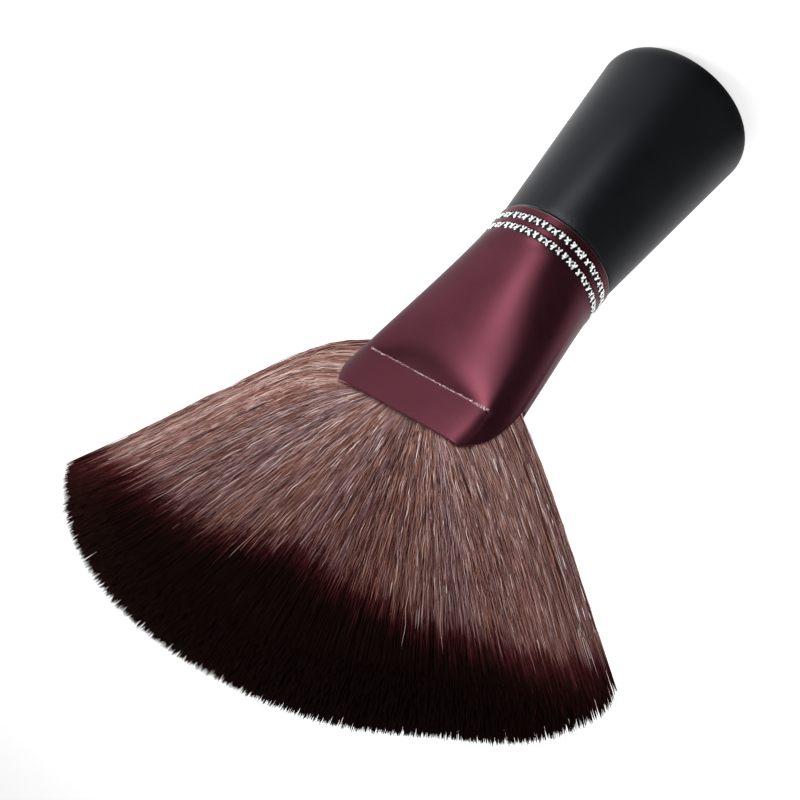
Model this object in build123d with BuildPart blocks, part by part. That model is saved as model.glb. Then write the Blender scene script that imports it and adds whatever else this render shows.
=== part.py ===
"""Neck duster brush that stands on its flared handle.

Millimetres, +Z up.  The origin is the centre of the flat base of the handle.
X is the width of the bristle fan, Y its thickness, and the front face looks along -Y.
Heights whose names end in _above_rim are measured from the ferrule's lower rim.
"""
from build123d import *
from math import cos, radians, sin, sqrt
from random import Random
import os

# Handle: a flared cone with a rounded base edge and a spigot (tenon) that goes into the ferrule
handle_height = 53.0
handle_base_radius = 19.4
base_edge_radius = 6.4
shoulder_step = 0.3
tenon_end_gap = 0.5
tenon_clearance = 0.15
tenon_chamfer = 1.0

# Ferrule: a round tube, pressed flat towards its mouth and pinched along a crimp line
rim_gap = 0.3
ferrule_radius = 15.0
ferrule_wall = 0.6
rim_chamfer = 0.2
round_length = 8.0
corner_angle = 30.6
crimp_above_rim = 44.5
mouth_above_rim = 55.2
flat_half_width = 15.7
crimp_half_thickness = 6.9
crimp_end_bulge = 4.3
mouth_half_thickness = 8.5
mouth_end_bulge = 4.2

# Two diamond-cut bands near the rim, and the cut line along the crimp
first_band_above_rim = 3.0
band_pitch = 3.3
band_width = 1.3
band_depth = 0.15
crimp_line_width = 0.7
crimp_line_depth = 0.15
crimp_line_margin = 0.1

# Slit down each side of the mouth, which lets the outer filaments fan out
slit_foot_above_rim = 38.5
slit_foot_half_gap = 1.2
slit_edge_sagitta = 1.0

# Resin plug that holds the filament roots; its top slice carries the modelled strands
plug_bottom_above_rim = 10.0
plug_below_slit = 1.3
slice_thickness = 1.5
bond_clearance = 0.1

# Bristle fan: strands in rows through the thickness, each with a root, a knee where it leaves the
# ferrule, a bow where it spreads, and a tip.  The fan leans a little to -X and spreads about that;
# names that end in _plus_x or _minus_x hold for the half of the fan on that side.
strand_columns = 42
strand_rows = 8
strand_root_radius = 0.34
strand_tip_radius = 0.45
root_depth = 0.5
root_crowding = 0.92
knee_wall_clearance = 0.1
knee_side_clearance = 1.2
slit_clearance = 0.75
fan_lean = -9.6
fan_half_angle = 42.1
bow_place = 0.3
bow_plus_x = 4.1
bow_minus_x = 0.7
tip_centre_above_rim = 38.1
tip_radius = 83.5
tip_shoulder = 14.2
corner_drop_plus_x = 12.9
corner_drop_minus_x = 13.4
tip_crown = 7.6
tip_half_thickness = 12.6
tip_unevenness = 1.2

# Heights from the base
rim_height = handle_height + rim_gap
crimp_height = rim_height + crimp_above_rim
mouth_height = rim_height + mouth_above_rim
plug_top_height = rim_height + slit_foot_above_rim - slit_foot_half_gap - plug_below_slit
slice_bottom_height = plug_top_height - slice_thickness

# Half the bundle's thickness at the crimp
knee_half_thickness = crimp_half_thickness - ferrule_wall - knee_wall_clearance


def end_arc(half_thickness, bulge):
    """Centre distance from the axis and radius of the arc that closes a pressed section."""
    radius = (half_thickness**2 + bulge**2) / (2 * bulge)
    return flat_half_width + bulge - radius, radius


def four_sided_outline(corner_x, corner_y, end_x, face_y):
    """Outline of two end arcs and two faces; a face is an arc where face_y is beyond the corners."""
    bulged = face_y > corner_y + 1e-6
    for side in (1, -1):
        right = (side * corner_x, -side * corner_y)
        left = (-side * corner_x, -side * corner_y)
        if bulged:
            ThreePointArc(left, (0, -side * face_y), right)
        else:
            Line(left, right)
        ThreePointArc(right, (side * end_x, 0), (side * corner_x, side * corner_y))


def round_outline(inset):
    """The ferrule's round section, split where the pressed section has its corners."""
    radius = ferrule_radius - inset
    corner_x = radius * cos(radians(corner_angle))
    corner_y = radius * sin(radians(corner_angle))
    four_sided_outline(corner_x, corner_y, radius, radius)


def pressed_outline(half_thickness, bulge, inset):
    """A pressed section: two flats closed by an arc at each end, all moved in by the inset."""
    centre_x, radius = end_arc(half_thickness, bulge)
    corner_y = half_thickness - inset
    corner_x = centre_x + sqrt((radius - inset) ** 2 - corner_y**2)
    four_sided_outline(corner_x, corner_y, centre_x + radius - inset, corner_y)


def round_section(height, inset):
    """Sketch of the round section on the plane at this height."""
    with BuildSketch(Plane.XY.offset(height)) as section:
        with BuildLine():
            round_outline(inset)
        make_face()
    return section.sketch


def crimp_section(inset):
    """Sketch of the section at the crimp, the thinnest place of the ferrule."""
    with BuildSketch(Plane.XY.offset(crimp_height)) as section:
        with BuildLine():
            pressed_outline(crimp_half_thickness, crimp_end_bulge, inset)
        make_face()
    return section.sketch


def mouth_section(inset):
    """Sketch of the section at the mouth, where the lip opens again."""
    with BuildSketch(Plane.XY.offset(mouth_height)) as section:
        with BuildLine():
            pressed_outline(mouth_half_thickness, mouth_end_bulge, inset)
        make_face()
    return section.sketch


def slit_edge_height(half_gap):
    """Height at which the slit reaches this half gap, on the arc between its foot and the mouth."""
    foot_y, foot_z = slit_foot_half_gap, rim_height + slit_foot_above_rim
    lip_y, lip_z = mouth_half_thickness - ferrule_wall, mouth_height
    run, rise = lip_y - foot_y, lip_z - foot_z
    chord = sqrt(run**2 + rise**2)
    radius = (chord**2 / 4 + slit_edge_sagitta**2) / (2 * slit_edge_sagitta)
    back = radius - slit_edge_sagitta
    centre_y = (foot_y + lip_y) / 2 + back * rise / chord
    centre_z = (foot_z + lip_z) / 2 - back * run / chord
    return centre_z + sqrt(radius**2 - (half_gap - centre_y) ** 2)


# Handle
shoulder_radius = ferrule_radius - shoulder_step
tenon_radius = ferrule_radius - ferrule_wall - tenon_clearance
tenon_top = rim_height + round_length - tenon_end_gap

with BuildPart() as handle:
    with BuildSketch(Plane.XZ):
        with BuildLine():
            Polyline(
                (0, 0),
                (handle_base_radius, 0),
                (shoulder_radius, handle_height),
                (tenon_radius, handle_height),
                (tenon_radius, tenon_top),
                (0, tenon_top),
                close=True,
            )
        make_face()
    revolve(axis=Axis.Z)
    base_edge = handle.edges().filter_by(GeomType.CIRCLE).group_by(Axis.Z)[0]
    fillet(base_edge, radius=base_edge_radius)
    tenon_edge = handle.edges().filter_by(GeomType.CIRCLE).group_by(Axis.Z)[-1]
    chamfer(tenon_edge, length=tenon_chamfer)

# Ferrule
slit_half_gap_at_lip = mouth_half_thickness - ferrule_wall
slit_reach = flat_half_width + mouth_end_bulge + ferrule_wall
slit_foot_height = rim_height + slit_foot_above_rim
slit_mid_half_gap = (slit_foot_half_gap + slit_half_gap_at_lip) / 2

with BuildPart() as ferrule:
    extrude(round_section(rim_height, 0), amount=round_length)
    chamfer(ferrule.edges().group_by(Axis.Z)[0], length=rim_chamfer)
    loft([round_section(rim_height + round_length, 0), crimp_section(0)], ruled=True)
    loft([crimp_section(0), mouth_section(0)], ruled=True)
    # the bore follows the outside at the wall's thickness
    extrude(round_section(rim_height, ferrule_wall), amount=round_length, mode=Mode.SUBTRACT)
    loft(
        [round_section(rim_height + round_length, ferrule_wall), crimp_section(ferrule_wall)],
        ruled=True,
        mode=Mode.SUBTRACT,
    )
    loft([crimp_section(ferrule_wall), mouth_section(ferrule_wall)], ruled=True, mode=Mode.SUBTRACT)
    # slits, cut through both ends at once
    with BuildSketch(Plane.YZ) as slit:
        with BuildLine():
            for side in (1, -1):
                foot = (side * slit_foot_half_gap, slit_foot_height)
                lip = (side * slit_half_gap_at_lip, mouth_height)
                above = (side * slit_half_gap_at_lip, mouth_height + ferrule_wall)
                middle = (side * slit_mid_half_gap, slit_edge_height(slit_mid_half_gap))
                ThreePointArc(foot, middle, lip)
                Line(lip, above)
                Line(above, (0, mouth_height + ferrule_wall))
            ThreePointArc(
                (slit_foot_half_gap, slit_foot_height),
                (0, slit_foot_height - slit_foot_half_gap),
                (-slit_foot_half_gap, slit_foot_height),
            )
        make_face()
    extrude(slit.sketch, amount=slit_reach, both=True, mode=Mode.SUBTRACT)
    # diamond-cut bands
    for band in range(2):
        band_bottom = rim_height + first_band_above_rim + band * band_pitch - band_width / 2
        with BuildSketch(Plane.XY.offset(band_bottom)):
            Circle(ferrule_radius + band_depth)
            Circle(ferrule_radius - band_depth, mode=Mode.SUBTRACT)
        extrude(amount=band_width, mode=Mode.SUBTRACT)
    # cut line along the crimp on both flats
    with Locations(
        (0, crimp_half_thickness, crimp_height),
        (0, -crimp_half_thickness, crimp_height),
    ):
        Box(
            2 * (flat_half_width - crimp_line_margin),
            2 * crimp_line_depth,
            crimp_line_width,
            mode=Mode.SUBTRACT,
        )

# Resin plug below the slice that carries the strands
bond_inset = ferrule_wall + bond_clearance

with BuildPart() as root_plug:
    loft([round_section(rim_height + round_length, bond_inset), crimp_section(bond_inset)], ruled=True)
    split(bisect_by=Plane.XY.offset(rim_height + plug_bottom_above_rim), keep=Keep.TOP)
    split(bisect_by=Plane.XY.offset(slice_bottom_height), keep=Keep.BOTTOM)


# Bristles
def triangle(x, y, z, radius):
    """Three-sided section of a strand, level, with one corner towards the front."""
    corners = [radians(angle) for angle in (-90, 30, 150)]
    points = [(x + radius * cos(a), y + radius * sin(a), z) for a in corners]
    return Wire.make_polygon([Vector(*point) for point in points], close=True)


def strand(across, through, shortening):
    """One strand: across and through run from -1 to 1 over the fan's width and thickness.

    The tips lie on a broad curve in the fan's plane, lower at the corners and towards both faces.
    """
    knee_y = through * knee_half_thickness
    knee_z = slit_edge_height(max(abs(knee_y) + slit_clearance, slit_foot_half_gap))
    centre_x, radius = end_arc(crimp_half_thickness, crimp_end_bulge)
    half_width = centre_x + sqrt((radius - ferrule_wall) ** 2 - knee_y**2) - knee_side_clearance
    knee_x = across * half_width
    angle = radians(fan_lean + fan_half_angle * across)
    corner_drop = corner_drop_plus_x if across > 0 else corner_drop_minus_x
    reach = tip_radius + tip_shoulder * across**2 - corner_drop * across**4
    reach -= tip_crown * through**2 + shortening
    from_z = knee_z - rim_height - tip_centre_above_rim
    along = knee_x * sin(angle) + from_z * cos(angle)
    length = sqrt(along**2 - knee_x**2 - from_z**2 + reach**2) - along
    tip_x = knee_x + length * sin(angle)
    tip_y = through * tip_half_thickness
    tip_z = knee_z + length * cos(angle)
    bow = (bow_plus_x if across > 0 else bow_minus_x) * across * abs(across)
    bow_x = knee_x + bow_place * (tip_x - knee_x) + bow * cos(angle)
    bow_y = knee_y + bow_place * (tip_y - knee_y)
    bow_z = knee_z + bow_place * (tip_z - knee_z) - bow * sin(angle)
    root_x = knee_x * root_crowding
    root_y = knee_y * root_crowding
    sections = [
        triangle(root_x, root_y, plug_top_height - root_depth, strand_root_radius),
        triangle(knee_x, knee_y, knee_z, strand_root_radius),
        triangle(bow_x, bow_y, bow_z, strand_root_radius),
        triangle(tip_x, tip_y, tip_z, strand_tip_radius),
    ]
    return Solid.make_loft(sections, ruled=True)


uneven = Random(5)
strands = []
for row in range(strand_rows):
    for column in range(strand_columns):
        across = (2 * column + 1) / strand_columns - 1
        through = (2 * row + 1) / strand_rows - 1
        strands.append(strand(across, through, uneven.uniform(0, tip_unevenness)))

with BuildPart() as bristles:
    loft([round_section(rim_height + round_length, bond_inset), crimp_section(bond_inset)], ruled=True)
    split(bisect_by=Plane.XY.offset(slice_bottom_height), keep=Keep.TOP)
    split(bisect_by=Plane.XY.offset(plug_top_height), keep=Keep.BOTTOM)
    add(strands)

os.makedirs("parts", exist_ok=True)
for name, piece in (
    ("handle", handle),
    ("ferrule", ferrule),
    ("root_plug", root_plug),
    ("bristles", bristles),
):
    piece.part.label = name
    export_step(piece.part, f"parts/{name}.step")
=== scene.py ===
"""Neck duster brush: a flared black handle, a pressed red ferrule and a fan of dipped filaments.

Everything is in metres in the frame of the model: the origin is the centre of the handle's base,
+Z runs to the filament tips, X along the width of the fan, and the front face looks along -Y.
Sizes are written in millimetres times MM, and heights above the rim start at the ferrule's lower
rim.
"""
import logging
from dataclasses import dataclass, field
from enum import Enum

import bpy
import numpy as np
from mathutils import Matrix, Vector


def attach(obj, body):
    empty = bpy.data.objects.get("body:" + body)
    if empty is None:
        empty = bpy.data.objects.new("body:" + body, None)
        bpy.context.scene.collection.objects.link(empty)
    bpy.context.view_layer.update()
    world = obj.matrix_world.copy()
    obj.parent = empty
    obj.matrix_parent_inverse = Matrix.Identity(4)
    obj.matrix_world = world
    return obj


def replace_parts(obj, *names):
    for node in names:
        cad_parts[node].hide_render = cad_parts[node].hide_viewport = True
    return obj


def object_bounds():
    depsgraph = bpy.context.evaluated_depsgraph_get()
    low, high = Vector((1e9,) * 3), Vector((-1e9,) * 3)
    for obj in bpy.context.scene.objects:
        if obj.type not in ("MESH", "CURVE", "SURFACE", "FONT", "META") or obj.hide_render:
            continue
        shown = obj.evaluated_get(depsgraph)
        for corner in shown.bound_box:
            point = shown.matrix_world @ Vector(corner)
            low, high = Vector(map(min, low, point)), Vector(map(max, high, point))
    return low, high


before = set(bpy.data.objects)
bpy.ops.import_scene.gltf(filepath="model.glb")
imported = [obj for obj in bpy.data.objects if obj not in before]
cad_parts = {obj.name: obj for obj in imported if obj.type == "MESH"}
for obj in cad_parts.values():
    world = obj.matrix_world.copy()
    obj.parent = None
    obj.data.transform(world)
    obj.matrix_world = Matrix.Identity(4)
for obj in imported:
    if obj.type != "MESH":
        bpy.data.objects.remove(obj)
CAD_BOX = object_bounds()

MM = 0.001
# 1 / p and 1 / p squared, where p cubed is p + 1: steps that fill a square evenly
EVEN_STEPS = (0.7548776662, 0.5698402910)
log = logging.getLogger("neck_duster")

Array = np.ndarray
Colour = tuple[float, float, float, float]
Cloths = tuple[tuple[float, float], ...]


def paint(red: int, green: int, blue: int) -> Colour:
    """A colour given as it shows on a screen, 0 to 255, in the linear values that nodes take.

    Args:
        red: Red, 0 to 255.
        green: Green, 0 to 255.
        blue: Blue, 0 to 255.

    Returns:
        The colour as linear red, green, blue and an alpha of 1.
    """
    shown = np.array([red, green, blue]) / 255
    linear = np.where(shown < 0.04045, shown / 12.92, ((shown + 0.055) / 1.055) ** 2.4)
    return (float(linear[0]), float(linear[1]), float(linear[2]), 1.0)


# --- Shader expressions


class Term:
    """A node's output that can stand in a Python expression; arithmetic adds its Math nodes."""

    def __init__(self, sheet: "Sheet", socket: bpy.types.NodeSocket) -> None:
        """Keep the socket and the sheet that its node is on."""
        self.sheet = sheet
        self.socket = socket

    def _math(self, operation: str, left: "Value", right: "Value") -> "Term":
        """The Math node for one operation on two values."""
        return self.sheet.node("ShaderNodeMath", {"operation": operation}, {0: left, 1: right})

    def __add__(self, other: "Value") -> "Term":
        """self + other."""
        return self._math("ADD", self, other)

    def __radd__(self, other: "Value") -> "Term":
        """other + self."""
        return self._math("ADD", other, self)

    def __sub__(self, other: "Value") -> "Term":
        """self - other."""
        return self._math("SUBTRACT", self, other)

    def __rsub__(self, other: "Value") -> "Term":
        """other - self."""
        return self._math("SUBTRACT", other, self)

    def __mul__(self, other: "Value") -> "Term":
        """self * other."""
        return self._math("MULTIPLY", self, other)

    def __rmul__(self, other: "Value") -> "Term":
        """other * self."""
        return self._math("MULTIPLY", other, self)

    def between(self, low: float, high: float) -> "Term":
        """0 below low, 1 above high, and a smooth step from one to the other.

        Args:
            low: Value at which the step leaves 0.
            high: Value at which it reaches 1.

        Returns:
            The step.
        """
        limits = {"Value": self, "From Min": low, "From Max": high}
        return self.sheet.node(
            "ShaderNodeMapRange", {"interpolation_type": "SMOOTHSTEP"}, limits, "Result"
        )


Value = Term | float | Colour


class Sheet:
    """The nodes of one material or world, with the few calls that the finishes are written in."""

    def __init__(self, owner: str | bpy.types.World) -> None:
        """Start an empty material of this name, or empty this world's nodes."""
        self.owner = bpy.data.materials.new(owner) if isinstance(owner, str) else owner
        self.owner.use_nodes = True
        self.tree = self.owner.node_tree
        self.tree.nodes.clear()

    def node(
        self,
        kind: str,
        settings: dict[str, object] | None = None,
        inputs: dict[str | int, Value] | None = None,
        output: str | int = 0,
    ) -> Term:
        """Add one node.

        Args:
            kind: The node's type.
            settings: The node's own settings; "stops" holds a ramp's places and colours.
            inputs: A value or a link for each input, by its name or number.
            output: Which output the result stands for.

        Returns:
            That output.
        """
        made = self.tree.nodes.new(kind)
        for name, value in (settings or {}).items():
            if name == "stops":
                self._set_stops(made.color_ramp, value)
            else:
                setattr(made, name, value)
        for name, value in (inputs or {}).items():
            if isinstance(value, Term):
                self.tree.links.new(value.socket, made.inputs[name])
            else:
                made.inputs[name].default_value = value
        return Term(self, made.outputs[output])

    @staticmethod
    def _set_stops(ramp: bpy.types.ColorRamp, stops: list[tuple[float, Colour]]) -> None:
        """Give a ramp these places and colours."""
        while len(ramp.elements) < len(stops):
            ramp.elements.new(1.0)
        for element, (place, colour) in zip(ramp.elements, stops, strict=True):
            element.position = place
            element.color = colour

    def attribute(self, name: str) -> Term:
        """A value that the mesh carries on its points."""
        return self.node("ShaderNodeAttribute", {"attribute_name": name}, output="Fac")

    def noise(self, size: float, detail: float = 2.0) -> Term:
        """Soft noise whose patches are about this size, in metres, on Object coordinates.

        Args:
            size: Width of a patch.
            detail: Octaves of finer noise.

        Returns:
            A value around 0.5.
        """
        place = self.node("ShaderNodeTexCoord", output="Object")
        inputs = {"Vector": place, "Scale": 1 / size, "Detail": detail}
        return self.node("ShaderNodeTexNoise", None, inputs, "Fac")

    def mix(self, factor: Value, first: Value, second: Value) -> Term:
        """A colour that goes from the first to the second as the factor goes from 0 to 1.

        Args:
            factor: Share of the second colour.
            first: Colour at 0.
            second: Colour at 1.

        Returns:
            The mixed colour.
        """
        inputs = {0: factor, 6: first, 7: second}
        return self.node("ShaderNodeMix", {"data_type": "RGBA"}, inputs, 2)

    def ramp(self, value: Term, stops: list[tuple[float, Colour]]) -> Term:
        """The colour of a ramp with these stops at this value."""
        return self.node("ShaderNodeValToRGB", {"stops": stops}, {"Fac": value}, "Color")

    def bump(self, height: Term, depth: float) -> Term:
        """A normal roughened by this height, where a height of 1 is this deep, in metres."""
        return self.node("ShaderNodeBump", None, {"Height": height, "Distance": depth}, "Normal")

    def surface(self, inputs: dict[str | int, Value]) -> bpy.types.Material:
        """End the sheet with a Principled shader that has these inputs, and give the material."""
        return self.show(self.node("ShaderNodeBsdfPrincipled", None, inputs, "BSDF"))

    def show(self, shader: Term) -> bpy.types.Material:
        """End the sheet with this shader, and give the material."""
        kind = "World" if isinstance(self.owner, bpy.types.World) else "Material"
        end = self.tree.nodes.new(f"ShaderNodeOutput{kind}")
        self.tree.links.new(shader.socket, end.inputs["Surface"])
        return self.owner


# --- Finishes


@dataclass(frozen=True)
class SatinLacquer:
    """Satin black lacquer on wood: a faint orange peel, and a dusty scuff at the shoulder."""

    black: Colour = paint(9, 10, 12)
    sheen: Colour = paint(238, 240, 255)
    dust: Colour = paint(84, 86, 92)
    dust_share: float = 0.7
    dust_patch_size: float = 6.0 * MM
    speck_size: float = 0.35 * MM
    peel_size: float = 0.5 * MM
    peel_depth: float = 0.004 * MM
    cloud_size: float = 9.0 * MM
    roughness: float = 0.32
    cloud_roughness: float = 0.16
    dust_roughness: float = 0.2

    def material(self) -> bpy.types.Material:
        """The lacquer; its mesh carries "scuff", which grows to 1 at the rubbed shoulder."""
        sheet = Sheet("handle_lacquer")
        cloud = sheet.noise(self.cloud_size, 4.0)
        specks = sheet.noise(self.speck_size, 3.0).between(0.34, 0.80)
        patches = sheet.noise(self.dust_patch_size).between(0.25, 0.5)
        dusty = sheet.attribute("scuff") * specks * patches
        roughness = self.roughness + (cloud - 0.5) * self.cloud_roughness
        return sheet.surface(
            {
                "Base Color": sheet.mix(dusty * self.dust_share, self.black, self.dust),
                "Roughness": roughness + dusty * self.dust_roughness,
                "Specular Tint": self.sheen,
                "Normal": sheet.bump(sheet.noise(self.peel_size), self.peel_depth),
            }
        )


@dataclass(frozen=True)
class RedAnodised:
    """Wine-red anodised aluminium: satin, fine-grained, paler where its edges were cut."""

    red: Colour = paint(116, 62, 75)
    deep_red: Colour = paint(111, 58, 70)
    bare: Colour = paint(150, 132, 128)
    # groove: near-black painted shade on the floors of the bands' grooves
    groove: Colour = paint(12, 8, 9)
    grain_size: float = 0.12 * MM
    grain_depth: float = 0.0025 * MM
    cloud_size: float = 14.0 * MM
    metallic: float = 0.97
    roughness: float = 0.27
    cloud_roughness: float = 0.04
    cut_smoothness: float = 0.08

    def material(self) -> bpy.types.Material:
        """The metal; its mesh carries "edge" where it was cut and "groove" at the bands, where it
        paints near-black shade.
        """
        sheet = Sheet("red_anodised")
        cloud = sheet.noise(self.cloud_size, 3.0).between(0.3, 0.7)
        tint = sheet.mix(cloud, self.deep_red, self.red)
        # painted shade: the floors of the band grooves turn near-black
        tint = sheet.mix(sheet.attribute("groove"), tint, self.groove)
        cut = sheet.attribute("edge")
        roughness = self.roughness + (cloud - 0.5) * self.cloud_roughness
        return sheet.surface(
            {
                "Base Color": sheet.mix(cut, tint, self.bare),
                "Metallic": self.metallic,
                "Roughness": roughness - cut * self.cut_smoothness,
                "Normal": sheet.bump(sheet.noise(self.grain_size, 1.0), self.grain_depth),
            }
        )


@dataclass(frozen=True)
class BrightCut:
    """Aluminium laid bare by a diamond tool: pale on the ridges, partly the bare metal's own colour
    and partly painted highlight, with painted black shade in the hollows.
    """

    # bright: the bare metal's pale colour, raised to white as a painted highlight; dull: its duller
    # patches
    bright: Colour = paint(250, 250, 250)
    dull: Colour = paint(170, 170, 176)
    # hollow: near-black painted shade in the hollows
    hollow: Colour = paint(8, 6, 7)
    glint_size: float = 0.5 * MM
    metallic: float = 0.35
    roughness: float = 0.28
    glint_roughness: float = 0.2

    def material(self) -> bpy.types.Material:
        """The cut metal; its mesh carries "ridge", 0 in the hollows and 1 on the ridges."""
        sheet = Sheet("bright_cut")
        ridge = sheet.attribute("ridge").between(0.34, 0.68)
        glint = sheet.noise(self.glint_size)
        lit = sheet.mix(glint.between(0.45, 0.62), self.bright, self.dull)
        return sheet.surface(
            {
                # painted shade in the hollows, painted highlight on the ridges
                "Base Color": sheet.mix(ridge, self.hollow, lit),
                "Metallic": self.metallic,
                "Roughness": self.roughness + glint * self.glint_roughness,
            }
        )


@dataclass(frozen=True)
class CastResin:
    """Amber casting resin with a few cloudy veins."""

    amber: Colour = paint(176, 144, 96)
    cloudy: Colour = paint(206, 184, 146)
    vein_size: float = 5.0 * MM
    ripple_size: float = 1.2 * MM
    ripple_depth: float = 0.02 * MM
    roughness: float = 0.12
    vein_roughness: float = 0.2

    def material(self) -> bpy.types.Material:
        """The resin."""
        sheet = Sheet("cast_resin")
        veins = sheet.noise(self.vein_size, 4.0).between(0.4, 0.7)
        return sheet.surface(
            {
                "Base Color": sheet.mix(veins, self.amber, self.cloudy),
                "Roughness": self.roughness + veins * self.vein_roughness,
                "Normal": sheet.bump(sheet.noise(self.ripple_size), self.ripple_depth),
            }
        )


@dataclass(frozen=True)
class DippedFilament:
    """Brown to mauve synthetic filament, darker away from the mouth, with black-red dyed tips."""

    warm_dark: Colour = paint(66, 38, 32)
    warm: Colour = paint(154, 110, 94)
    cool_dark: Colour = paint(60, 40, 44)
    cool: Colour = paint(142, 114, 118)
    # pale: top of the tone ramp, reached mostly by the painted highlights on a few strands
    pale: Colour = paint(222, 204, 200)
    umber: Colour = paint(88, 48, 45)
    maroon: Colour = paint(60, 22, 25)
    dyed: Colour = paint(20, 11, 9)
    umber_share: float = 0.45
    roughness: float = 0.6

    def material(self) -> bpy.types.Material:
        """The filament; its mesh carries "tone" and "hue" for each strand and "dye" along it; "tone"
        also holds painted shade and highlights.
        """
        sheet = Sheet("dipped_filament")
        tone = sheet.attribute("tone")
        warm = sheet.ramp(tone, [(0.0, self.warm_dark), (0.5, self.warm), (1.0, self.pale)])
        cool = sheet.ramp(tone, [(0.0, self.cool_dark), (0.5, self.cool), (1.0, self.pale)])
        bare = sheet.mix(sheet.attribute("hue"), warm, cool)
        dye = sheet.attribute("dye")
        dulled = sheet.mix(dye.between(0.0, 0.3) * self.umber_share, bare, self.umber)
        half_dyed = sheet.mix(dye.between(0.25, 0.6), dulled, self.maroon)
        return sheet.surface(
            {
                "Base Color": sheet.mix(dye.between(0.5, 1.0), half_dyed, self.dyed),
                "Roughness": self.roughness,
                # the filament's own gloss is off; its highlights are painted into the tone instead
                "Specular IOR Level": 0.0,
            }
        )


@dataclass(frozen=True)
class TentCloth:
    """The cloth of the light tent, which glows as much as its mesh says."""

    white: Colour = paint(255, 255, 255)

    def material(self) -> bpy.types.Material:
        """The cloth; its mesh carries "glow", its brightness."""
        sheet = Sheet("tent_cloth")
        inputs = {"Color": self.white, "Strength": sheet.attribute("glow")}
        return sheet.show(sheet.node("ShaderNodeEmission", None, inputs, "Emission"))


@dataclass(frozen=True)
class PaleFloor:
    """A white sheet that shows as white wherever the object throws no shadow on it."""

    white: Colour = paint(246, 246, 246)
    glow_share: float = 0.72

    def material(self) -> bpy.types.Material:
        """The floor: part plain white, part white of strength 1 for the rays that see it."""
        sheet = Sheet("pale_floor")
        plain = sheet.node("ShaderNodeBsdfDiffuse", None, {"Color": self.white}, "BSDF")
        white = sheet.node("ShaderNodeEmission", None, {"Strength": 1.0}, "Emission")
        share = seen_ray(sheet) * self.glow_share
        return sheet.show(sheet.node("ShaderNodeMixShader", None, {0: share, 1: plain, 2: white}))


def seen_ray(sheet: Sheet) -> Term:
    """1 for the rays that show a background: from the camera, a gloss or through glass."""
    rays = [
        sheet.node("ShaderNodeLightPath", output=name)
        for name in ("Is Camera Ray", "Is Glossy Ray", "Is Transmission Ray")
    ]
    return (rays[0] + rays[1] + rays[2]).between(0.0, 1.0)


# --- Meshes from arrays


def ring_quads(low: Array, high: Array) -> Array:
    """Quads between two rings of point numbers, or stacks of rings; the last axis goes round."""
    return np.stack([low, np.roll(low, -1, -1), np.roll(high, -1, -1), high], axis=-1)


def unit(vectors: Array) -> Array:
    """The vectors, which are on the last axis, made one unit long."""
    return vectors / np.linalg.norm(vectors, axis=-1, keepdims=True)


def turned(radius: Array, height: Array, turn: Array) -> Array:
    """Grid of points round Z, one ring for each row of the radii and heights.

    Args:
        radius: A column, or rows by turns.
        height: A column.
        turn: Angles round Z, the grid's columns.

    Returns:
        Rows by turns by 3.
    """
    x = radius * np.cos(turn)
    return np.stack([x, radius * np.sin(turn), np.broadcast_to(height, x.shape)], axis=-1)


def arc(centre: tuple[float, float], radius: float, turn: Array) -> Array:
    """Points in a plane on an arc about this centre, at these angles."""
    return np.stack([centre[0] + radius * np.cos(turn), centre[1] + radius * np.sin(turn)], axis=-1)


def step(value: Array | float, low: float, high: float) -> Array:
    """A smooth step: 0 up to low, 1 from high, and 3 t squared less 2 t cubed between them."""
    share = np.clip((np.asarray(value, dtype=float) - low) / (high - low), 0, 1)
    return share * share * (3 - 2 * share)


def linked(name: str, data: bpy.types.ID) -> bpy.types.Object:
    """A new object with this data, linked to the scene."""
    made = bpy.data.objects.new(name, data)
    bpy.context.scene.collection.objects.link(made)
    return made


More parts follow.
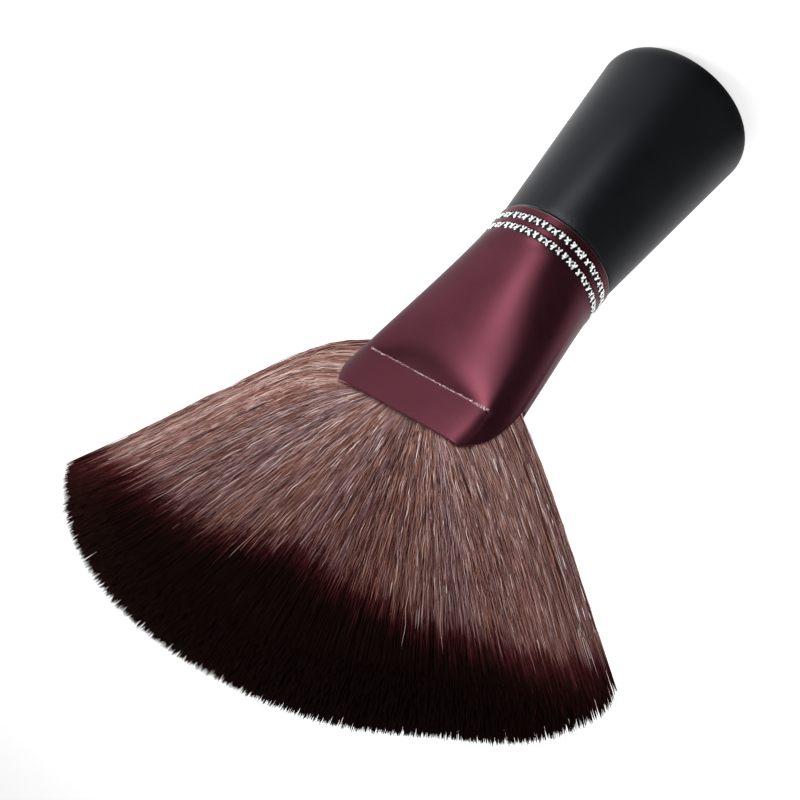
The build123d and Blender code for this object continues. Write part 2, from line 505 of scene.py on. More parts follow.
@dataclass
class Surface:
    """The points and faces of a piece as whole arrays, with the values its finish reads."""

    points: Array
    corners: Array
    counts: Array
    values: dict[str, Array] = field(default_factory=dict)
    bake_map: Array | None = None

    @classmethod
    def grid(cls, points: Array, ring_rows: bool = False, capped: bool = False) -> "Surface":
        """Quads between the points of a grid whose columns go round and close on themselves.

        Args:
            points: Rows by columns by 3; columns run anticlockwise seen from where rows lead.
            ring_rows: Join the last row to the first, as on a tube with a wall.
            capped: Close the first and last rows with one face each.

        Returns:
            The surface, facing outwards.
        """
        rows, columns = points.shape[:2]
        index = np.arange(rows * columns).reshape(rows, columns)
        low = index if ring_rows else index[:-1]
        high = np.roll(index, -1, axis=0) if ring_rows else index[1:]
        quads = ring_quads(low, high)
        corners = [quads.reshape(-1)]
        counts = [np.full(quads.size // 4, 4)]
        if capped:
            corners += [index[0, ::-1], index[-1]]
            counts += [np.array([columns, columns])]
        return cls(points.reshape(-1, 3), np.concatenate(corners), np.concatenate(counts))

    @classmethod
    def strands(cls, lines: Array, radii: Array) -> "Surface":
        """Closed three-sided strands, with a map on which each has a cell of its own.

        Each section is a triangle about its centre, in the plane across the strand there.

        Args:
            lines: Strands by sections by 3, the centre lines.
            radii: Strands by sections, from the centre to a corner.

        Returns:
            The surface of all the strands.
        """
        count, sections = lines.shape[:2]
        along = unit(np.gradient(lines, axis=1))
        first = unit(np.cross(along, np.array([0.0, 1.0, 0.0])))
        second = np.cross(along, first)
        turns = np.arange(3) * 2 * np.pi / 3
        across = first[:, :, None] * np.cos(turns)[:, None]
        across = across + second[:, :, None] * np.sin(turns)[:, None]
        points = lines[:, :, None] + radii[:, :, None, None] * across
        index = np.arange(count * sections * 3).reshape(count, sections, 3)
        quads = ring_quads(index[:, :-1], index[:, 1:])
        corners = [quads.reshape(-1), index[:, 0, ::-1].reshape(-1), index[:, -1].reshape(-1)]
        counts = [np.full(quads.size // 4, 4), np.full(2 * count, 3)]
        made = cls(points.reshape(-1, 3), np.concatenate(corners), np.concatenate(counts))
        made.bake_map = cls._strand_cells(count, sections)
        return made

    @staticmethod
    def _strand_cells(count: int, sections: int) -> Array:
        """Map places of all corners: a cell per strand, its length up and its sides across."""
        side = int(np.ceil(np.sqrt(count)))
        strand = np.arange(count)
        cell = np.stack([strand % side, strand // side], axis=-1)[:, None, None, None]
        step, face = np.meshgrid(np.arange(sections - 1), np.arange(3), indexing="ij")
        quad_x = np.stack([face, face + 1, face + 1, face], axis=-1) / 3
        quad_y = np.stack([step, step, step + 1, step + 1], axis=-1) / (sections - 1)
        inside = np.stack([quad_x, quad_y], axis=-1)[None]
        quads = (cell + 0.1 + 0.8 * inside).reshape(-1, 2)
        ends = np.array([[0.3, 0.02], [0.5, 0.08], [0.7, 0.02]])
        roots = (cell[:, 0, 0] + ends).reshape(-1, 2)
        tips = (cell[:, 0, 0] + np.array([0.0, 0.9]) + ends).reshape(-1, 2)
        return np.concatenate([quads, roots, tips]) / side

    def piece(self, name: str, slot: str, material: bpy.types.Material) -> bpy.types.Object:
        """Make the Blender piece.

        Args:
            name: The piece's name.
            slot: The record's material slot; not used.
            material: Its material.

        Returns:
            The object, riding on the one body.
        """
        made = self._object(name, material)
        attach(made, "root")
        log.info("%s: %d points, %d faces", name, len(self.points), len(self.counts))
        return made

    def prop(self, name: str, material: bpy.types.Material) -> bpy.types.Object:
        """Make a thing of the studio, which isn't part of the brush."""
        made = self._object(name, material)
        return made

    def _object(self, name: str, material: bpy.types.Material) -> bpy.types.Object:
        """The mesh in an object of its own, with its values and its map."""
        mesh = bpy.data.meshes.new(name)
        mesh.vertices.add(len(self.points))
        mesh.vertices.foreach_set("co", self.points.astype(np.float32).ravel())
        mesh.loops.add(len(self.corners))
        mesh.loops.foreach_set("vertex_index", self.corners.astype(np.int32))
        mesh.polygons.add(len(self.counts))
        starts = np.concatenate([[0], np.cumsum(self.counts)[:-1]])
        mesh.polygons.foreach_set("loop_start", starts.astype(np.int32))
        mesh.polygons.foreach_set("use_smooth", np.ones(len(self.counts), dtype=bool))
        for value_name, value in self.values.items():
            made = mesh.attributes.new(value_name, "FLOAT", "POINT")
            made.data.foreach_set("value", value.astype(np.float32).ravel())
        if self.bake_map is not None:
            layer = mesh.uv_layers.new(name="OFBake")
            layer.data.foreach_set("uv", self.bake_map.astype(np.float32).ravel())
        mesh.update(calc_edges=True)
        mesh.validate()
        mesh.materials.append(material)
        return linked(name, mesh)


# --- Handle


@dataclass
class Handle:
    """The flared handle and the tenon that goes into the ferrule, turned in one piece."""

    height: float = 53.0 * MM
    base_radius: float = 19.4 * MM
    shoulder_radius: float = 14.7 * MM
    base_edge_radius: float = 6.4 * MM
    shoulder_edge_radius: float = 0.35 * MM
    tenon_radius: float = 14.25 * MM
    tenon_top: float = 60.8 * MM
    tenon_chamfer: float = 1.0 * MM
    smudge_azimuth: float = -101.0
    smudge_breadth: float = 15.0
    smudge_height: float = 3.6 * MM
    sharp_angle: float = 40.0
    columns: int = 192

    def profile(self) -> Array:
        """Radius and height from the base to the tenon's end, as an array of pairs.

        The flat base runs out to an arc that is tangent to the base and to the straight cone,
        the cone ends in a small rounding at the shoulder, and the tenon follows.
        """
        lean = np.arctan2(self.base_radius - self.shoulder_radius, self.height)
        half_turn = (np.pi / 2 + lean) / 2
        flat_radius = self.base_radius - self.base_edge_radius * np.tan(half_turn)
        base_centre = (flat_radius, self.base_edge_radius)
        base_edge = arc(base_centre, self.base_edge_radius, np.linspace(-np.pi / 2, lean, 22))
        small = self.shoulder_edge_radius
        shoulder_centre = (self.shoulder_radius - small, self.height - small)
        shoulder = arc(shoulder_centre, small, np.linspace(lean, np.pi / 2, 6))
        share = np.linspace(0, 1, 42)[1:-1, None]
        cone = base_edge[-1] + (shoulder[0] - base_edge[-1]) * share
        flat = np.array([[0.4, 0.0], [0.8, 0.0]]) * flat_radius
        tenon = np.array(
            [
                [self.tenon_radius, self.height],
                [self.tenon_radius, self.tenon_top - self.tenon_chamfer],
                [self.tenon_radius - self.tenon_chamfer, self.tenon_top],
            ]
        )
        return np.concatenate([flat, base_edge, cone, shoulder, tenon])

    def build(self) -> None:
        """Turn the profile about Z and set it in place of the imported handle."""
        profile = self.profile()
        turn = np.linspace(0, 2 * np.pi, self.columns, endpoint=False)
        points = turned(profile[:, :1], profile[:, 1:], turn)
        surface = Surface.grid(points, capped=True)
        azimuth = np.degrees(np.arctan2(points[..., 1], points[..., 0]))
        near = np.exp(-(((azimuth - self.smudge_azimuth) / self.smudge_breadth) ** 2))
        rubbed = step(points[..., 2], self.height - self.smudge_height, self.height)
        surface.values["scuff"] = near * rubbed
        made = surface.piece("handle_body", "handle_lacquer", SatinLacquer().material())
        made.data.set_sharp_from_angle(angle=np.radians(self.sharp_angle))
        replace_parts(made, "handle")


# --- Ferrule


@dataclass
class PressedTube:
    """The form of the ferrule: a round tube pressed flat, pinched at the crimp, slit at its sides.

    A place on its outline is told by a turn from 0 to 4: the front face, the right end, the
    back face and the left end, each over one unit.
    """

    rim_height: float = 53.3 * MM
    radius: float = 15.0 * MM
    wall: float = 0.6 * MM
    round_length: float = 8.0 * MM
    corner_angle: float = 30.6
    crimp_above_rim: float = 44.5 * MM
    mouth_above_rim: float = 55.2 * MM
    flat_half_width: float = 15.7 * MM
    crimp_half_thickness: float = 6.9 * MM
    crimp_end_bulge: float = 4.3 * MM
    mouth_half_thickness: float = 8.5 * MM
    mouth_end_bulge: float = 4.2 * MM
    slit_foot_above_rim: float = 38.5 * MM
    slit_foot_half_gap: float = 1.2 * MM
    slit_edge_sagitta: float = 1.0 * MM
    face_crown: float = 0.45 * MM
    blend_softness: float = 0.03
    side_fullness: float = 0.2
    dent: float = 2.5
    lip_fullness: float = 0.02
    crimp_shift: float = 0.35 * MM

    def end_arc(self, half_thickness: float, bulge: float) -> tuple[float, float]:
        """Centre distance and radius of the arc that closes a pressed section at its ends."""
        radius = (half_thickness**2 + bulge**2) / (2 * bulge)
        return self.flat_half_width + bulge - radius, radius

    def _split_turn(self, turn: Array) -> tuple[Array, Array, Array]:
        """Which of the four parts each turn lies in, how far along it, and the half it is on."""
        part = np.floor(turn).astype(int) % 4
        return part, turn - np.floor(turn), np.where(part < 2, 1.0, -1.0)

    def round_outline(self, turn: Array) -> Array:
        """The round section: a circle, with the parts split at the corner angle."""
        part, share, half = self._split_turn(turn)
        corner = np.radians(self.corner_angle)
        on_face = -np.pi + corner + share * (np.pi - 2 * corner)
        on_end = corner * (2 * share - 1)
        angle = np.where(part % 2 == 0, on_face, on_end)
        return half[..., None] * self.radius * np.stack([np.cos(angle), np.sin(angle)], axis=-1)

    def pressed_outline(self, turn: Array, half_thickness: float, bulge: float) -> Array:
        """A pressed section: two flats that sink a little at their ends, closed by two arcs."""
        part, share, half = self._split_turn(turn)
        corner_thickness = half_thickness - self.face_crown
        centre, radius = self.end_arc(corner_thickness, bulge)
        corner = np.arctan2(corner_thickness, self.flat_half_width - centre)
        angle = corner * (2 * share - 1)
        aside = 2 * share - 1
        on_face = np.stack(
            [self.flat_half_width * aside, self.face_crown * aside**8 - half_thickness], axis=-1
        )
        on_end = np.stack([centre + radius * np.cos(angle), radius * np.sin(angle)], axis=-1)
        return half[..., None] * np.where((part % 2 == 0)[..., None], on_face, on_end)

    def outline(self, turn: Array, above_rim: Array) -> Array:
        """Points of the outside at these turns and heights above the rim, in metres.

        Round up to the round length, then a blend to the crimp section that starts softly, then
        on to the mouth section.  The width is a little ahead in the blend, the thickness lags
        behind it and dips steeply just above the crimp, and the crimp sits a little to one side.
        """
        run = (above_rim - self.round_length) / (self.crimp_above_rim - self.round_length)
        run = np.clip(run, 0, 1)
        soft = self.blend_softness
        even = (np.sqrt(run**2 + soft**2) - soft) / (np.sqrt(1 + soft**2) - soft)
        wide = even + self.side_fullness * run**2 * (1 - run)
        thin = even - self.dent * run**6 * (1 - run)
        lip_length = self.mouth_above_rim - self.crimp_above_rim
        opened = np.clip((above_rim - self.crimp_above_rim) / lip_length, 0, 1)
        round_part = self.round_outline(turn)
        crimp = self.pressed_outline(turn, self.crimp_half_thickness, self.crimp_end_bulge)
        mouth = self.pressed_outline(turn, self.mouth_half_thickness, self.mouth_end_bulge)
        flat = round_part + (crimp - round_part) * np.stack([wide, thin], axis=-1)
        flat = flat + (mouth - crimp) * opened[..., None]
        full = 4 * opened * (1 - opened) * (flat[..., 0] / self.flat_half_width) ** 4
        flat[..., 0] *= 1 + self.lip_fullness * full
        flat[..., 0] += self.crimp_shift * even * (1 - opened)
        height = np.broadcast_to(self.rim_height + above_rim, flat.shape[:-1])
        return np.concatenate([flat, height[..., None]], axis=-1)

    def slit_edge(self, half_gap: Array) -> Array:
        """Height above the rim at which the slit reaches this half gap, on an arc."""
        foot_y, foot_z = self.slit_foot_half_gap, self.slit_foot_above_rim
        lip_y, lip_z = self.mouth_half_thickness - self.wall, self.mouth_above_rim
        run, rise = lip_y - foot_y, lip_z - foot_z
        chord = np.hypot(run, rise)
        radius = (chord**2 / 4 + self.slit_edge_sagitta**2) / (2 * self.slit_edge_sagitta)
        back = radius - self.slit_edge_sagitta
        centre_y = (foot_y + lip_y) / 2 + back * rise / chord
        centre_z = (foot_z + lip_z) / 2 - back * run / chord
        return centre_z + np.sqrt(np.maximum(radius**2 - (half_gap - centre_y) ** 2, 0))

    def top_edge(self, turn: Array) -> Array:
        """Height above the rim at which the wall ends: the mouth, or the slit on the two ends.

        The half gap of the slit is the distance of the outline from XZ at that same height, so
        a few rounds bring the two together.
        """
        top = np.full_like(turn, self.mouth_above_rim)
        for _ in range(12):
            distance = np.abs(self.outline(turn, top)[..., 1])
            slit = self.slit_edge(np.maximum(distance, self.slit_foot_half_gap))
            round_foot = np.sqrt(np.maximum(1 - (distance / self.slit_foot_half_gap) ** 2, 0))
            slit = slit - self.slit_foot_half_gap * round_foot
            in_slit = distance < self.mouth_half_thickness - self.wall
            top = np.minimum(np.where(in_slit, slit, self.mouth_above_rim), self.mouth_above_rim)
        return top


@dataclass
class Ferrule:
    """The pressed tube with its wall, the grooves of the two bands and the valley at the crimp."""

    tube: PressedTube = field(default_factory=PressedTube)
    band_centres: tuple[float, float] = (3.0 * MM, 6.3 * MM)
    band_width: float = 1.95 * MM
    band_depth: float = 0.2 * MM
    groove_side: float = 0.06 * MM
    rim_chamfer: float = 0.2 * MM
    bright_rim: float = 0.12 * MM
    plain_height: float = 12.0 * MM
    corner_rounding: float = 1.5 * MM
    lip_rounding: float = 1.9 * MM
    lip_blend: tuple[float, float] = (-6.0 * MM, 3.0 * MM)
    normal_rounding: float = 1.0 * MM
    lip_height_share: float = 0.8
    lip_brightness: float = 0.25
    rim_brightness: float = 0.9
    sharp_angle: float = 38.0
    face_columns: int = 120
    end_columns: int = 64

    def turns(self) -> Array:
        """Places round the outline, about evenly spaced in length."""
        face = np.arange(self.face_columns) / self.face_columns
        end = np.arange(self.end_columns) / self.end_columns
        return np.concatenate([face, 1 + end, 2 + face, 3 + end])

    def row_heights(self) -> Array:
        """Heights above the rim of the rows, close together at the grooves and at the crimp."""
        tube = self.tube
        grooves = [
            centre + side * (self.band_width / 2 + offset)
            for centre in self.band_centres
            for side in (-1, 1)
            for offset in (0.0, self.groove_side)
        ]
        plain = np.linspace(self.rim_chamfer, tube.crimp_above_rim - 2 * MM, 56)
        grooves += [self.rim_chamfer + self.bright_rim, self.rim_chamfer + 2 * self.bright_rim]
        crimp = tube.crimp_above_rim + np.linspace(-1.8, 1.8, 25) * MM
        lip = np.linspace(tube.crimp_above_rim + 2.1 * MM, tube.mouth_above_rim, 22)
        return np.unique(np.round(np.concatenate([grooves, plain, crimp, lip]), 7))

    def rounded(self, points: Array, width: float) -> Array:
        """The points with each row's corners rounded by a bell-shaped average along the row."""
        spacing = 2 * self.tube.flat_half_width / self.face_columns
        places = np.arange(points.shape[1])
        places = np.minimum(places, points.shape[1] - places) * spacing
        bell = np.exp(-((places / width) ** 2))
        spectrum = np.fft.rfft(bell / bell.sum())
        return np.fft.irfft(
            np.fft.rfft(points, axis=1) * spectrum[None, :, None], points.shape[1], axis=1
        )

    def outside(self) -> Array:
        """Grid of points on the outside, rows from the rim to the edge of the mouth and slits.

        Above the plain height, which is above the bands, the rows are squeezed so that the last
        row follows the edge.  The corners are rounded a little more at the lip than below it.
        """
        turn, rows = self.turns(), self.row_heights()[:, None]
        plain, crimp = self.plain_height, self.tube.crimp_above_rim
        squeeze = (self.tube.top_edge(turn) - plain) / (self.tube.mouth_above_rim - plain)
        above = np.where(rows > plain, plain + (rows - plain) * squeeze, rows)
        sharp = self.tube.outline(np.broadcast_to(turn, above.shape), above)
        body, lip = (self.rounded(sharp, w) for w in (self.corner_rounding, self.lip_rounding))
        at_lip = step(above, crimp + self.lip_blend[0], crimp + self.lip_blend[1])
        points = body + (lip - body) * at_lip[..., None]
        points[..., 2] = sharp[..., 2]
        depth = self.band_depth * self.in_groove(above)
        points[..., :2] *= (1 - depth / self.tube.radius)[..., None]
        return points

    def in_groove(self, above_rim: Array) -> Array:
        """1 on the floor of the bands' grooves and 0 outside them."""
        centres = np.array(self.band_centres)
        distance = np.abs(above_rim[..., None] - centres).min(axis=-1) - self.band_width / 2
        return 1 - step(distance, 0, self.groove_side)

    def build(self) -> None:
        """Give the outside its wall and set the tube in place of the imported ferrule.

        The inside lies one wall's thickness in along the normal, and a half circle of rows over
        the edge joins the two; a chamfer and the inner rim join them at the bottom.
        """
        outside = self.outside()
        around = np.roll(outside, -1, axis=1) - np.roll(outside, 1, axis=1)
        upward = np.gradient(outside, axis=0)
        normal = unit(np.cross(around, upward))
        smooth_normal = unit(self.rounded(normal, self.normal_rounding))
        half_wall = self.tube.wall / 2
        edge_normal, middle = smooth_normal[-1], outside[-1] - half_wall * smooth_normal[-1]
        over = unit(np.cross(edge_normal, around[-1]))
        over *= np.sign(over[:, 2:])
        bend = np.radians([30, 60, 90, 120, 150])[:, None, None]
        rise = self.lip_height_share * np.sin(bend) * over
        lip = middle + half_wall * (np.cos(bend) * edge_normal + rise)
        inside = (outside - self.tube.wall * smooth_normal)[::-1]
        level = outside[0] * np.array([1.0, 1.0, 0.0])
        bottom = np.array([0.0, 0.0, self.tube.rim_height])
        insets = (self.tube.wall, self.rim_chamfer)
        rim = [level * (1 - inset / self.tube.radius) + bottom for inset in insets]
        points = np.concatenate([outside, lip, inside, rim])
        surface = Surface.grid(points, ring_rows=True)
        edge = np.zeros(points.shape[:2])
        edge[len(outside) + 1 : len(outside) + 5] = self.lip_brightness
        edge[-2:] = self.rim_brightness
        edge[:2] = self.rim_brightness
        surface.values["edge"] = edge
        # groove: the band floors, where the finish paints near-black shade
        groove = np.zeros(points.shape[:2])
        groove[: len(outside)] = self.in_groove(outside[..., 2] - self.tube.rim_height)
        surface.values["groove"] = groove
        made = surface.piece("ferrule_tube", "red_anodised", RedAnodised().material())
        made.data.set_sharp_from_angle(angle=np.radians(self.sharp_angle))
        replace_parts(made, "ferrule")


@dataclass
class CutBand:
    """One diamond-cut band: a row of Y-shaped ridges, with hollows between them painted black as
    shade.
    """

    name: str
    above_rim: float
    tube: PressedTube = field(default_factory=PressedTube)
    marks: int = 59
    width: float = 1.9 * MM
    floor_depth: float = 0.16 * MM
    ridge_height: float = 0.24 * MM
    ridge_half_width: float = 0.14
    ridge_crown: float = 1.25
    hidden_depth: float = 0.15 * MM
    cells_across_mark: int = 14
    cells_up_mark: int = 14
    seed: int = 5

    def ridge(self, across: Array, up: Array) -> Array:
        """How far each place is up a ridge, 0 to 1, over marks that are one unit wide.

        A mark is a stem and a spur towards the mouth and two arms towards the rim; the tool cut
        each a little differently, so they are shifted by uneven amounts.  The ridge falls off
        from those lines as the crown less the squared distance.
        """
        uneven = np.random.default_rng(self.seed).uniform(-1, 1, (6, self.marks))
        nearest = np.full(np.broadcast_shapes(across.shape, up.shape), np.inf)
        cell = np.floor(across).astype(int)
        for beside in (-1, 0, 1):
            shift, arm, other, lean, length, fat = uneven[:, (cell + beside) % self.marks]
            x = across - cell - beside - 0.5 - 0.08 * shift
            joint = 0.05 * lean
            stem = (0.24 * lean - 0.1, 0.33 + 0.06 * length, 0.8 + 0.12 * fat)
            spur = (0.3 + 0.1 * length, 0.2 + 0.14 * arm, 1.15 - 0.3 * fat)
            left_arm = (-0.26 - 0.1 * arm, -0.34 - 0.06 * other, 1.0 + 0.3 * arm)
            right_arm = (0.28 + 0.08 * other, -0.32 + 0.1 * arm, 1.0 + 0.3 * other)
            for end_x, end_y, thinness in (stem, spur, left_arm, right_arm):
                rise = end_y - joint
                share = (x * end_x + (up - joint) * rise) / (end_x**2 + rise**2)
                share = np.clip(share, 0, 1)
                distance = np.hypot(x - share * end_x, up - joint - share * rise)
                nearest = np.minimum(nearest, distance * thinness)
        return np.clip(self.ridge_crown - (nearest / self.ridge_half_width) ** 2, 0, 1)

    def build(self, material: bpy.types.Material) -> None:
        """Wrap the row of marks round the groove and close it behind."""
        columns = self.marks * self.cells_across_mark
        across = np.arange(columns) / self.cells_across_mark
        up = np.linspace(-0.5, 0.5, self.cells_up_mark + 1)
        ridge = self.ridge(across[None, :], up[:, None])
        radius = self.tube.radius - self.floor_depth + self.ridge_height * ridge
        hidden = self.tube.radius - self.floor_depth - self.hidden_depth
        radius = np.concatenate([radius, np.full((2, columns), hidden)])
        height = np.concatenate([up, up[[-1, 0]]]) * self.width + self.above_rim
        height = (self.tube.rim_height + height)[:, None]
        points = turned(radius, height, across / self.marks * 2 * np.pi)
        surface = Surface.grid(points, ring_rows=True)
        # ridge also sets the colour: painted black shade in the hollows, painted highlight on the
        # ridges
        surface.values["ridge"] = np.concatenate([ridge, np.zeros((2, columns))])
        surface.piece(self.name, "red_anodised", material)


@dataclass
class CrimpLine:
    """The bright cut line in the valley of the crimp on one flat: a crumbly row of facets."""

    name: str
    side: int
    tube: PressedTube = field(default_factory=PressedTube)
    half_width: float = 15.5 * MM
    half_breadth: float = 0.30 * MM
    rise: float = 0.15 * MM
    shift: float = 0.07 * MM
    wander: float = 0.09 * MM
    narrowing: float = 0.25
    sunk: float = 0.02 * MM
    back_depth: float = 0.3 * MM
    facets: int = 230
    seed: int = 11

    def build(self, material: bpy.types.Material) -> None:
        """Lay a low, uneven strip of facets along the crimp.

        Its section is a low arch; its breadth, place and rise change from facet to facet, and
        it is narrower towards +X.
        """
        uneven = np.random.default_rng(self.seed + self.side)
        x = np.linspace(-1, 1, self.facets) * self.half_width
        narrower = 1 - self.narrowing * x / self.half_width
        breadth = self.half_breadth * uneven.uniform(0.35, 1.0, self.facets) * narrower
        wander = uneven.normal(0, self.wander, self.facets)
        arch = np.linspace(-1, 1, 5)
        up = wander[:, None] + breadth[:, None] * arch
        proud = self.rise * (1 - arch**2) * uneven.uniform(0.3, 1.6, (self.facets, 5))
        y = self.tube.crimp_half_thickness + proud - self.sunk
        back_y = np.full((self.facets, 2), self.tube.crimp_half_thickness - self.back_depth)
        y = np.concatenate([y, back_y], axis=1) * self.side
        up = np.concatenate([up, up[:, [-1, 0]]], axis=1)
        z = self.tube.rim_height + self.tube.crimp_above_rim + self.shift + up
        points = np.stack([np.broadcast_to(x[:, None], y.shape), y, z], axis=-1)
        surface = Surface.grid(points[:, ::-1] if self.side > 0 else points, capped=True)
        worn_away = uneven.uniform(size=(self.facets, 1)) ** 2 * 0.3
        surface.values["ridge"] = uneven.uniform(0.36, 0.86, points.shape[:2]) - worn_away
        made = surface.piece(self.name, "red_anodised", material)
        made.data.polygons.foreach_set("use_smooth", np.zeros(len(made.data.polygons), dtype=bool))


# --- Bristles


class Layer(Enum):
    """Where in the fan a group of strands lies."""

    FRONT = "front"
    WISPS = "wisps"
    BACK = "back"
    LEFT = "left"
    RIGHT = "right"
    HEART = "heart"


@dataclass(frozen=True)
class Sowing:
    """How a layer is filled.

    Across the fan and through it, from inside to outside, the layer has these ranges.  A clump
    has a few strands that stand within the spread, and a strand weaves in and out by the weave.
    Strands start at the root, or at the first place along them if that is above 0.
    """

    layer: Layer
    across: tuple[float, float]
    through: tuple[float, float]
    clumps: int
    strands_each: int
    pieces: int
    divisions: int
    spread: float = 0.011
    weave: float = 0.40 * MM
    outward: float = 0.65
    first: float = 0.0
    thickness: float = 1.0

    @property
    def count(self) -> int:
        """How many strands the layer has."""
        return self.clumps * self.strands_each

    def each(self, values: Array) -> Array:
        """A clump's value given to each of its strands, as a column."""
        return np.repeat(values, self.strands_each)[:, None]

    def clump_places(self) -> tuple[Array, Array]:
        """Places of the clumps across and through: an even sequence, put in order across."""
        number = np.arange(self.clumps)
        even_across = (0.5 + number * EVEN_STEPS[0]) % 1
        even_through = ((0.5 + number * EVEN_STEPS[1]) % 1) ** self.outward
        across = self.across[0] + (self.across[1] - self.across[0]) * even_across
        through = self.through[0] + (self.through[1] - self.through[0]) * even_through
        order = np.argsort(across)
        return across[order], through[order]

    def sections(self) -> Array:
        """Places of a strand's sections along it, as a row.

        From the root they are evenly spaced.  A strand that starts part-way has few sections, so
        they crowd towards its tip as the cube of what is left, which keeps it thick up to there.
        """
        left = np.linspace(1, 0, self.divisions)
        if self.first > 0:
            return (1 - (1 - self.first) * left**3)[None, :]
        return np.concatenate([[-1.0, -0.5, 0.0], 1 - 0.97 * left])[None, :]


@dataclass
class BristleFan:
    """The fan of filaments, from their roots in the resin to their dyed tips.

    A filament is told by its place across the fan and through its thickness, each from -1 to 1.
    """

    tube: PressedTube = field(default_factory=PressedTube)
    root_above_rim: float = 35.0 * MM
    root_crowding: float = 0.92
    knee_half_thickness: float = 7.35 * MM
    knee_side_clearance: float = 0.35 * MM
    slit_clearance: float = 0.5 * MM
    crimp_share: float = 0.8
    lean: float = -9.6
    half_angle: float = 42.1
    bow_plus_x: float = 3.15 * MM
    bow_minus_x: float = 0.65 * MM
    swell: float = 2.0 * MM
    swell_place: float = 0.17
    tip_centre_above_rim: float = 38.1 * MM
    tip_radius: float = 83.85 * MM
    tip_shoulder: float = 14.2 * MM
    corner_drop_plus_x: float = 13.9 * MM
    corner_drop_minus_x: float = 10.0 * MM
    corner_cut_minus_x: float = 6.2 * MM
    tip_hollow: float = 2.7 * MM
    hollow_place: float = -0.55
    hollow_breadth: float = 0.26
    tip_crown: float = 7.6 * MM
    tip_half_thickness: float = 12.6 * MM
    edge_limit: float = 0.985
    strand_radius: float = 0.085 * MM
    taper_share: float = 0.045
    wave_height: float = 0.13 * MM
    clump_unevenness: float = 0.20 * MM
    strand_unevenness: float = 0.50 * MM
    usual_length: float = 70.0
    pale_share: float = 0.05
    early_dye: float = 0.3
    dip_start: float = 0.645
    dip_length: float = 0.16
    core_width: float = 0.93
    core_thickness: float = 0.7
    strays: int = 9
    stray_lift: float = 0.35 * MM
    seed: int = 7

    sowings: tuple[Sowing, ...] = (
        Sowing(Layer.FRONT, (-1.0, 1.0), (-0.55, -1.0), 1050, 4, 5, 27),
        Sowing(Layer.WISPS, (-0.96, 0.96), (-0.95, -1.0), 420, 2, 2, 54),
        Sowing(Layer.BACK, (-1.0, 1.0), (0.55, 1.0), 640, 4, 2, 20),
        Sowing(Layer.LEFT, (0.92, 1.0), (-0.6, 0.6), 90, 5, 1, 18, outward=1.0),
        Sowing(Layer.RIGHT, (-0.92, -1.0), (-0.6, 0.6), 90, 5, 1, 18, outward=1.0),
        Sowing(Layer.HEART, (-0.98, 0.98), (-0.88, 0.88), 8800, 1, 1, 3, 0.004, 0.0, 1.0, 0.8, 1.9),
    )

    def lines(self, across: Array, through: Array, shorter: Array, along: Array) -> Array:
        """Centre lines of filaments.

        Each leaves the ferrule at a knee, whose height follows the slit's edge, and ends on the
        tip curve: a circle about the fan's centre with its shoulders raised and its corners
        dropped, lower towards both faces.  On the -X side the curve has a shallow hollow and its
        last bit is cut off steeply.  Between knee and tip a filament runs straight, plus a bow
        that is t (1 - t) squared, and on the +X side an early swell.

        Args:
            across: Place across the fan, one for each filament and section or one for each.
            through: Place through the thickness, likewise.
            shorter: How much shorter each filament is than the tip curve.
            along: Sections, from 0 at the knee to 1 at the tip; below 0 is towards the root.

        Returns:
            Filaments by sections by 3, in metres.
        """
        tube = self.tube
        knee_y = through * self.knee_half_thickness
        half_gap = np.maximum(np.abs(knee_y) + self.slit_clearance, tube.slit_foot_half_gap)
        knee_z = np.minimum(tube.slit_edge(half_gap), tube.mouth_above_rim - 1.0 * MM)
        centre, radius = tube.end_arc(tube.crimp_half_thickness, tube.crimp_end_bulge)
        inner = np.sqrt(np.maximum((radius - tube.wall) ** 2 - knee_y**2, 0))
        knee_x = across * (centre + inner - self.knee_side_clearance)
        angle = np.radians(self.lean + self.half_angle * across)
        drop = np.where(across > 0, self.corner_drop_plus_x, self.corner_drop_minus_x)
        reach = self.tip_radius + self.tip_shoulder * across**2 - drop * across**4
        reach = reach - self.corner_cut_minus_x * np.clip(-across, 0, 1) ** 24
        hollow = np.exp(-(((across - self.hollow_place) / self.hollow_breadth) ** 2))
        reach = reach - self.tip_hollow * hollow - self.tip_crown * through**2 - shorter
        from_z = knee_z - self.tip_centre_above_rim
        toward = knee_x * np.sin(angle) + from_z * np.cos(angle)
        length = np.sqrt(toward**2 - knee_x**2 - from_z**2 + reach**2) - toward
        t = np.clip(along, 0, 1)
        bow = np.where(across > 0, self.bow_plus_x, self.bow_minus_x) * across * np.abs(across)
        bow = bow * 6.75 * t * (1 - t) ** 2
        early = (t / self.swell_place * np.exp(1 - t / self.swell_place)) ** 2
        out = bow + self.swell * np.clip(across, 0, 1) ** 6 * early
        edge = np.sqrt(1 - np.clip(np.abs(across), 0, 0.995) ** 8)
        tip_y = through * self.tip_half_thickness * (0.35 + 0.65 * edge)
        spread = t + 0.25 * t * (1 - t)
        x = knee_x + t * length * np.sin(angle) + out * np.cos(angle)
        y = knee_y + spread * (tip_y - knee_y)
        z = knee_z + t * length * np.cos(angle) - out * np.sin(angle)
        below = np.clip(-along, 0, 1)
        x = x + below * knee_x * (self.root_crowding - 1)
        y = y + np.clip(2 * below, 0, 1) * knee_y * (self.crimp_share - 1)
        z = z + below * (self.root_above_rim - knee_z)
        return np.stack([x, y, tube.rim_height + z], axis=-1)

